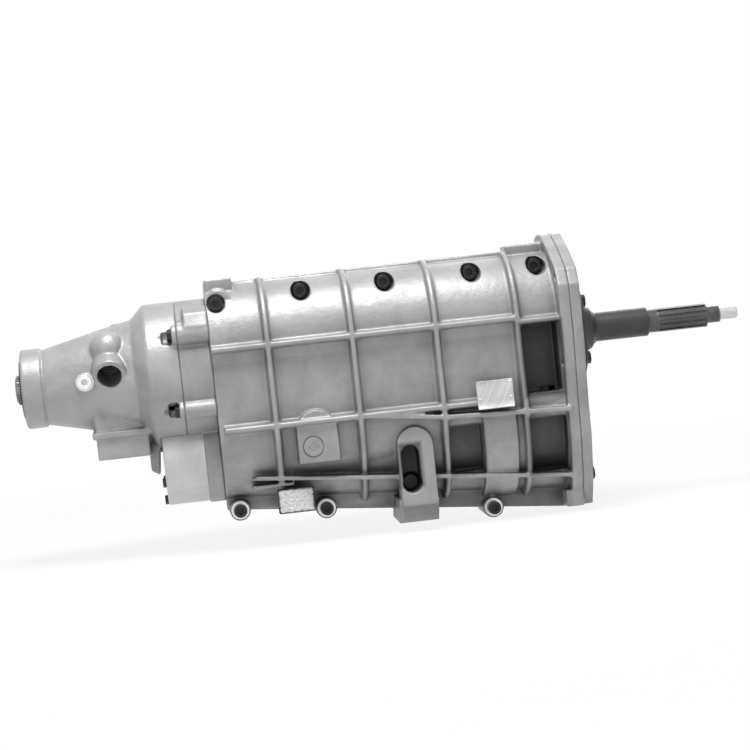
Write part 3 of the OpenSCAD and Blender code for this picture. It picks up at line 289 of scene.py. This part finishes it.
def cast_over(name, node, material, cell=CELL, passes=4, most=190000):
    """A casting's soft skin: the solid's own surface rebuilt on a fine cubic grid, then each point moved halfway to the mean of its neighbours a few times, which rounds its edges and fills its corners."""
    mesh = nodes[node].data.copy()
    mesh.materials.clear()
    shell = bmesh.new()
    shell.from_mesh(mesh)
    bmesh.ops.remove_doubles(shell, verts=shell.verts, dist=0.000002)
    shell.to_mesh(mesh)
    shell.free()
    piece = bpy.data.objects.new(name, mesh)
    bpy.context.scene.collection.objects.link(piece)
    remesh = piece.modifiers.new("grid", "REMESH")
    remesh.mode = "VOXEL"
    remesh.voxel_size = cell
    soften = piece.modifiers.new("soften", "SMOOTH")
    soften.factor = 0.5
    soften.iterations = passes
    done = bpy.data.meshes.new_from_object(piece.evaluated_get(bpy.context.evaluated_depsgraph_get()))
    piece.modifiers.clear()
    piece.data = done
    done.name = name
    done.calc_loop_triangles()
    if len(done.loop_triangles) > most:
        thin = piece.modifiers.new("thin", "DECIMATE")
        thin.ratio = most / len(done.loop_triangles)
        piece.data = bpy.data.meshes.new_from_object(piece.evaluated_get(bpy.context.evaluated_depsgraph_get()))
        piece.modifiers.clear()
        piece.data.name = name
    piece.data.materials.clear()
    piece.data.materials.append(material)
    piece.data.polygons.foreach_set("use_smooth", np.ones(len(piece.data.polygons), bool))
    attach(piece, "housing")
    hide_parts(node)
    return piece


# Painted shade: the front pockets, a pocket in a lower bay and a slot are darkened to near black, and a fainter painted
# shadow runs along the underside.
case_painted_shade = (
    ((-0.0712, -0.12, -0.068), (-0.0280, -0.040, 0.014), 0.97),
    ((-0.0712, -0.12, -0.160), (-0.0280, -0.020, -0.097), 0.97),
    ((-0.1635, -0.12, -0.150), (-0.1285, -0.020, -0.097), 0.93),
    ((-0.2250, -0.0845, -0.156), (-0.2050, -0.050, -0.111), 0.99),
    ((-0.4400, -0.12, -0.230), (-0.0300, 0.000, -0.183), 0.30),
)
case_skin = casting("case casting", (0.37, 0.37, 0.37), 0.4, shade_blocks=case_painted_shade)
dress(case_skin, "case_right", "case_left")
cast_over("case_half_right", "case_right", case_skin)
cast_over("case_half_left", "case_left", case_skin)
plate_skin = casting("front plate casting", (0.37, 0.37, 0.37), 0.42)
dress(plate_skin, "front_plate")
cast_over("front_plate_casting", "front_plate", plate_skin, passes=2, most=120000)
tail_skin = casting("tail casting", (0.4, 0.4, 0.4), 0.38)
dress(tail_skin, "tail_housing")
cast_over("tail_casting", "tail_housing", tail_skin)
rear_skin = casting("rear plate casting", (0.37, 0.37, 0.37), 0.42)
dress(rear_skin, "rear_bearing_plate")
cast_over("rear_plate_casting", "rear_bearing_plate", rear_skin, passes=3, most=120000)
dress(turned_steel("turned cover", (0.66, 0.66, 0.66), 0.36, COUNTER_Z, per_metre=1500.0, edge=1.2, stain=0.88, metallic=0.6), "counter_rear_cover")

# ---- Bearing retainer and seals ----
# A machined iron flange with a long sleeve for the clutch release bearing.

dress(turned_steel("retainer iron", (0.075, 0.075, 0.078), 0.38, per_metre=1800.0, edge=2.2, metallic=0.7), "bearing_retainer")
dress(turned_steel("seal rubber", (0.02, 0.02, 0.021), 0.6, edge=1.4, metallic=0.0), "front_seal", "rear_seal")

# ---- Input shaft ----
# Hardened steel: dark from the hardening, with the ground pilot left bright.


def input_shaft_steel():
    """Dark hardened steel that turns to bright ground steel beyond the spline's end."""

    def build(tree, base, rough):
        marks = add(tree, "ShaderNodeGroup", node_tree=TURNED)
        rim = add(tree, "ShaderNodeGroup", node_tree=EDGE_WEAR_AND_NOOK_SHADE)
        rim.inputs["Radius"].default_value = 0.0005
        rim.inputs["Reach"].default_value = 0.006
        x = add(tree, "ShaderNodeSeparateXYZ", {0: add(tree, "ShaderNodeTexCoord").outputs["Object"]}).outputs[0]
        ground = ramp(tree, x, 0.1865, 0.1885)
        dark = blend_colour(tree, ramp(tree, marks.outputs["Stain"], 0.35, 0.7), base, [c * 0.6 for c in base[:3]] + [1.0])
        rubbed = blend_colour(tree, sums(tree, "MULTIPLY", rim.outputs["Edge"], 0.7), dark, (0.45, 0.45, 0.46, 1.0))
        tone = blend_colour(tree, ground, rubbed, (0.6, 0.6, 0.6, 1.0))
        shine = ramp(tree, marks.outputs["Lines"], 0.3, 0.7, rough - 0.05, rough + 0.07)
        return tone, shine, marks.outputs["Lines"], 0.00004, rim.outputs["Round"]

    return finish_of("hardened input shaft", (0.11, 0.11, 0.115), 0.85, 0.34, build)


dress(input_shaft_steel(), "input_shaft")

# ---- Bolts, washers and plugs ----
# Black oxide bolts clamp the halves; the low ones sit on bright zinc-plated washers.

dress(turned_steel("black oxide", (0.035, 0.035, 0.037), 0.4, edge=3.0, metallic=0.6), "clamp_bolts", "cover_bolts", "tail_bolts", "front_bolts")
dress(turned_steel("bright zinc", (0.86, 0.86, 0.85), 0.25, edge=1.1, stain=0.92), "clamp_washers", "speedo_clip_bolt")
dress(turned_steel("plug steel", (0.42, 0.42, 0.42), 0.35), "fill_plug", "drain_plug")

# ---- Bare plate ----
# A blank plate of thin bright sheet on a raised pad of the case. Four domed drive
# screws hold it, and its lower edge has bent outwards.


def grid_piece(name, points, material, body, closed_u=False, wall=0.0):
    """A surface from a grid of points (rows u, columns v), its faces turned outwards, with a wall of this thickness if given."""
    rows, columns = points.shape[:2]
    u = np.arange(rows if closed_u else rows - 1)
    corner = (u[:, None] * columns + np.arange(columns - 1)[None, :]).reshape(-1)
    beside = (((u[:, None] + 1) % rows) * columns + np.arange(columns - 1)[None, :]).reshape(-1)
    mesh = bpy.data.meshes.new(name)
    mesh.from_pydata(points.reshape(-1, 3).tolist(), [], np.stack([corner, beside, beside + 1, corner + 1], axis=-1).tolist())
    mesh.polygons.foreach_set("use_smooth", np.ones(len(mesh.polygons), bool))
    mesh.materials.append(material)
    piece = bpy.data.objects.new(name, mesh)
    bpy.context.scene.collection.objects.link(piece)
    if wall:
        sheet = piece.modifiers.new("wall", "SOLIDIFY")
        sheet.thickness = wall
        sheet.offset = -1.0
    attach(piece, body)
    return piece


sheet_low, sheet_high = (np.array(corner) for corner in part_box("blank_plate"))
plate_metal = turned_steel("bright sheet", (0.78, 0.78, 0.77), 0.36, per_metre=300.0, edge=1.1, stain=0.8, metallic=0.5, depth=0.00002)
dress(plate_metal, "blank_plate")


def bent_sheet():
    """The plate's surface: flat over u and v, with y pushed out by 3 mm times the square of how far v is past 0.7, and a slow 0.4 mm wave across."""
    u, v = np.meshgrid(np.linspace(0.0, 1.0, 40), np.linspace(0.0, 1.0, 40), indexing="ij")
    x = sheet_low[0] + u * (sheet_high[0] - sheet_low[0])
    z = sheet_high[2] + v * (sheet_low[2] - sheet_high[2])
    curl = 0.003 * np.clip((v - 0.7) / 0.3, 0.0, None) ** 2 + 0.002 * np.clip((0.12 - v) / 0.12, 0.0, None) ** 2 * (1.0 - u)
    y = sheet_low[1] - 0.0002 - curl - 0.0004 * np.sin(u * 7.0 + v * 3.0) * np.sin(v * 5.0)
    return np.stack([x, y, z], axis=-1)


plate_sheet = grid_piece("bare_plate_sheet", bent_sheet(), plate_metal, "housing", wall=0.0008)
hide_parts("blank_plate")


def domed_screw(x, z):
    """A drive screw's head: a profile of quarter-circle radii carried once round the Y axis."""
    turn, rise = np.meshgrid(np.linspace(0.0, 2.0 * math.pi, 25)[:-1], np.linspace(0.0, math.pi / 2, 8), indexing="ij")
    radius = 0.0019 * np.cos(rise) + 0.00002
    return np.stack([x + radius * np.cos(turn), sheet_low[1] - 0.0009 - 0.0011 * np.sin(rise), z - radius * np.sin(turn)], axis=-1)


for number, (x, z) in enumerate([(-0.1275, -0.0485), (-0.0915, -0.0485), (-0.1275, -0.0665), (-0.0915, -0.0665)]):
    grid_piece(f"drive_screw_{number + 1}", domed_screw(x, z), plate_metal, "housing", closed_u=True)

# ---- Rough cast pad ----
# Under the rear bays the sand has broken away from the mould and left a lumpy pad,
# rubbed bright on its high points and black between them.


def rough_pad():
    """The pad's face: y is the block's face plus three crossed waves of 9, 5 and 3 mm, and falls back to the case at its rim."""
    u, v = np.meshgrid(np.linspace(0.0, 1.0, 120), np.linspace(0.0, 1.0, 90), indexing="ij")
    x = -0.3715 + 0.0405 * u
    z = -0.1475 - 0.0265 * v
    rim = np.minimum(np.minimum(u, 1.0 - u) * 12.0, np.minimum(v, 1.0 - v) * 9.0).clip(0.0, 1.0)
    lumps = np.sin(x * 700.0 + 1.7 * np.sin(z * 610.0)) + np.sin(z * 1250.0 + 1.3 * np.sin(x * 930.0)) + 0.7 * np.sin(x * 2100.0 + z * 1700.0)
    y = -0.0662 - (0.0012 + 0.0007 * lumps) * rim + 0.0030 * (1.0 - rim)
    return np.stack([x, y, z], axis=-1)


def pad_material():
    """Bright rubbed high points and black hollows, from how far each point stands out, broken up by fine noise."""

    def build(tree, base, rough):
        place = add(tree, "ShaderNodeTexCoord").outputs["Object"]
        y = add(tree, "ShaderNodeSeparateXYZ", {0: place}).outputs[1]
        noise = add(tree, "ShaderNodeTexNoise", {"Vector": place, "Scale": 420.0, "Detail": 4.0}).outputs[0]
        out = sums(tree, "ADD", ramp(tree, y, -0.0660, -0.0686), ramp(tree, noise, 0.3, 0.7, -0.35, 0.35))
        tone = blend_colour(tree, ramp(tree, out, 0.15, 0.75), (0.06, 0.06, 0.06, 1.0), base)
        return tone, ramp(tree, noise, 0.3, 0.7, rough, rough + 0.25), noise, 0.0004, None

    return finish_of("rubbed rough casting", (0.72, 0.72, 0.71), 0.3, 0.4, build)


grid_piece("rough_pad_face", rough_pad(), pad_material(), "housing", wall=0.002)

# ---- Selector levers ----
# Forged levers, zinc plated and passivated yellow, pressed on their shafts.

lever_zinc = turned_steel("yellow zinc", (0.62, 0.55, 0.36), 0.32, per_metre=1200.0, edge=1.2)
dress(lever_zinc, "lever_45", "lever_23", "lever_1r", "lever_shaft_45", "lever_shaft_23", "lever_shaft_1r")

# ---- Floor, lamps and camera ----
# A pale floor under the gearbox, a wide lamp above it, and two weak ones at its sides.

low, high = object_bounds()
turns, reach = np.meshgrid(np.linspace(0.0, 2.0 * math.pi, 65)[:-1], np.linspace(0.0, 1.0, 25)[1:] ** 2 * 9.0, indexing="ij")
points = np.stack([reach * np.cos(turns) - 0.22, reach * np.sin(turns), np.full_like(turns, low[2] - 0.0005)], axis=-1).reshape(-1, 3)
corner = (np.arange(64)[:, None] * 24 + np.arange(23)[None, :]).reshape(-1)
onward = (corner + 24) % (64 * 24)
ring = [[k * 24 for k in range(64)]]
floor_mesh = bpy.data.meshes.new("floor")
floor_mesh.from_pydata(points.tolist(), [], np.stack([corner, corner + 1, onward + 1, onward], axis=-1).tolist() + ring)
floor_mesh.polygons.foreach_set("use_smooth", np.ones(len(floor_mesh.polygons), bool))
floor = bpy.data.objects.new("floor", floor_mesh)
bpy.context.scene.collection.objects.link(floor)
paper = bpy.data.materials.new("white paper")
paper.use_nodes = True
tree = paper.node_tree
tree.nodes["Principled BSDF"].inputs["Base Color"].default_value = (0.9, 0.9, 0.9, 1.0)
tree.nodes["Principled BSDF"].inputs["Roughness"].default_value = 0.9
path = add(tree, "ShaderNodeLightPath")
seen = sums(tree, "MAXIMUM", path.outputs["Is Camera Ray"], sums(tree, "MAXIMUM", path.outputs["Is Glossy Ray"], path.outputs["Is Transmission Ray"]))
glow = add(tree, "ShaderNodeEmission", {"Color": (1.0, 1.0, 1.0, 1.0), "Strength": 1.0})
spot = add(tree, "ShaderNodeVectorMath", {0: add(tree, "ShaderNodeTexCoord").outputs["Object"], 1: (-0.22, 0.0, float(low[2]))}, operation="DISTANCE").outputs["Value"]
white = ramp(tree, spot, 0.45, 1.3, 0.86, 1.0)
both = add(tree, "ShaderNodeMixShader", {0: sums(tree, "MULTIPLY", seen, white), 1: tree.nodes["Principled BSDF"].outputs[0], 2: glow.outputs[0]})
tree.links.new(both.outputs[0], tree.nodes["Material Output"].inputs[0])
floor_mesh.materials.append(paper)

world = bpy.data.worlds.new("soft room")
bpy.context.scene.world = world
world.use_nodes = True
tree = world.node_tree
path = add(tree, "ShaderNodeLightPath")
seen = sums(tree, "MAXIMUM", path.outputs["Is Camera Ray"], sums(tree, "MAXIMUM", path.outputs["Is Glossy Ray"], path.outputs["Is Transmission Ray"]))
tree.links.new(ramp(tree, seen, 0.0, 1.0, 0.17, 1.0), tree.nodes["Background"].inputs["Strength"])
tree.nodes["Background"].inputs["Color"].default_value = (1.0, 1.0, 1.0, 1.0)


def lamp(name, place, aim, size, power):
    """A square area lamp at place, in metres, facing aim."""
    data = bpy.data.lights.new(name, "AREA")
    data.size = size
    data.energy = power
    made = bpy.data.objects.new(name, data)
    bpy.context.scene.collection.objects.link(made)
    back = (np.array(place) - np.array(aim)) / np.linalg.norm(np.array(place) - np.array(aim))
    side = np.cross((0.0, 1.0, 0.001), back)
    side /= np.linalg.norm(side)
    top = np.cross(back, side)
    rows = np.column_stack([side, top, back])
    made.matrix_world = Matrix.Translation(place) @ Matrix(rows.tolist()).to_4x4()


lamp("top lamp", (-0.35, -0.5, 1.35), (-0.25, 0.0, 0.0), 0.6, 27.0)
lamp("front lamp", (-1.1, -1.9, 0.35), (-0.25, 0.0, -0.05), 1.0, 3.5)
lamp("far lamp", (0.6, 1.6, 0.9), (-0.2, 0.0, 0.0), 1.2, 8.0)

turn, rise, roll, distance = (math.radians(-5.0), math.radians(2.5), math.radians(6.113), 2.50527)
back = np.array([math.sin(turn) * math.cos(rise), -math.cos(turn) * math.cos(rise), math.sin(rise)])
right = np.cross(-back, (0.0, 0.0, 1.0))
right /= np.linalg.norm(right)
up = np.cross(right, -back)
rolled = math.cos(roll) * right - math.sin(roll) * up
upright = math.sin(roll) * right + math.cos(roll) * up
eye = np.array([-0.23835, 0.0, -0.02834]) + back * distance
camera_data = bpy.data.cameras.new("camera")
camera_data.lens = 100.0
camera_data.sensor_width = 36.0
camera = bpy.data.objects.new("camera", camera_data)
bpy.context.scene.collection.objects.link(camera)
camera.matrix_world = Matrix.Translation(eye.tolist()) @ Matrix(np.column_stack([rolled, upright, back]).tolist()).to_4x4()
bpy.context.scene.camera = camera
bpy.context.scene.view_settings.view_transform = "Standard"
